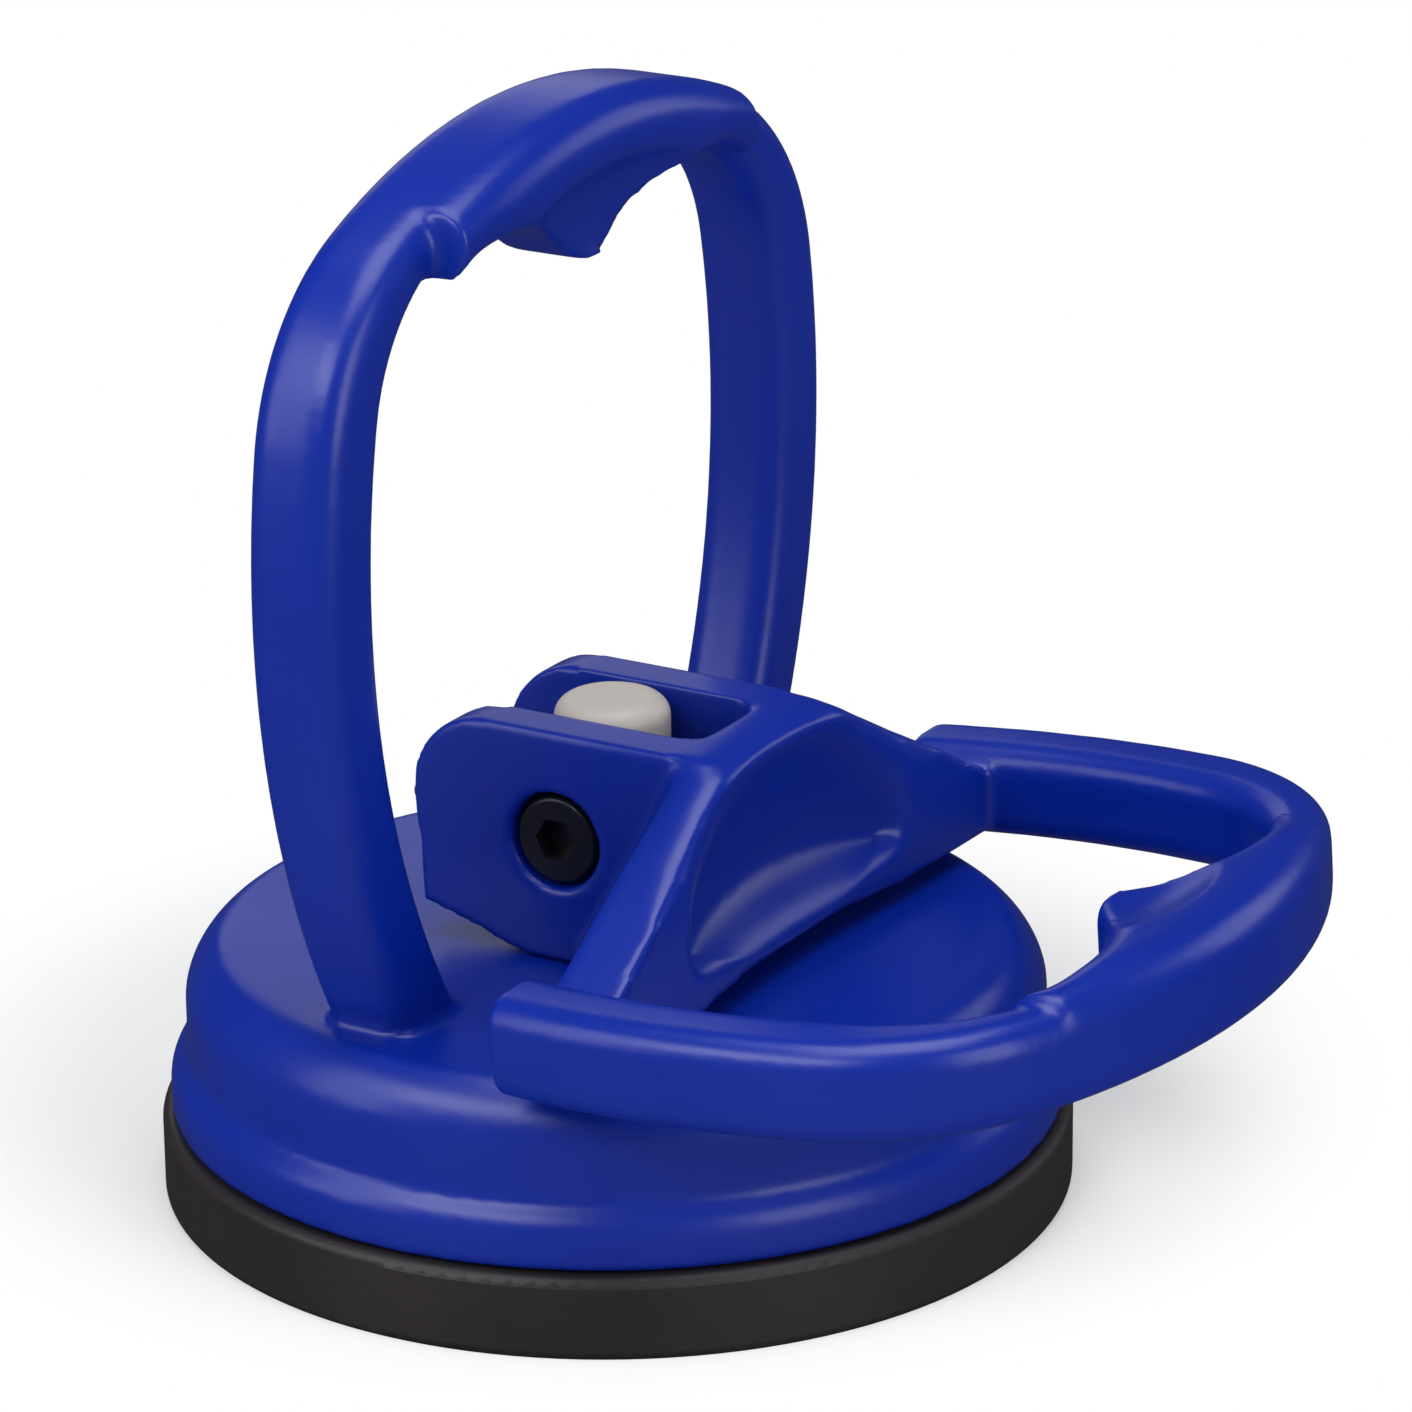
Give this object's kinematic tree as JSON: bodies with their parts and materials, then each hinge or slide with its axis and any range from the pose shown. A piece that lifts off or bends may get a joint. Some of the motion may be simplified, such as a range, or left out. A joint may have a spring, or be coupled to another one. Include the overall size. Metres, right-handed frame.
{
  "type": "suction lifter",
  "caption": "Single-cup suction lifter: round base with a fixed loop handle, a cam lever with a matching loop, and a flexible pad drawn up by a central post.",
  "frame": {"origin": "centre of the pad's flat underside, on the surface the tool is pressed against", "axes": "+Z away from the surface through the post, +X along the lowered lever towards its loop, +Y along the lever's pin"},
  "size_m": [0.0727, 0.0576, 0.0692],
  "materials": {
    "housing": "smooth moulded, satin gloss",
    "lever": "smooth moulded, satin gloss",
    "pad": "matt black",
    "post": "plain moulded, off-white",
    "screw": "black oxide",
    "nut": "zinc plated"
  },
  "bodies": {
    "base": {"base_body": "housing", "suction_pad": "pad"},
    "post": {"pull_post": "post"},
    "lever": {"lever": "lever", "pivot_screw": "screw", "pivot_nut": "nut"}
  },
  "joints": [
    {"name": "post_lift", "type": "slide", "parent": "base", "child": "post", "axis": [0, 0, 1], "range_m": [0, 0.0023]},
    {"name": "lever_swing", "type": "hinge", "parent": "post", "child": "lever", "pos_m": [0, 0, 0.0242], "axis": [0, -1, 0], "range_deg": [0, 85], "deforming": ["suction_pad"]}
  ],
  "couplings": [
    {"joint": "post_lift", "follows": "lever_swing", "m_per_rad": 0.0015496}
  ]
}
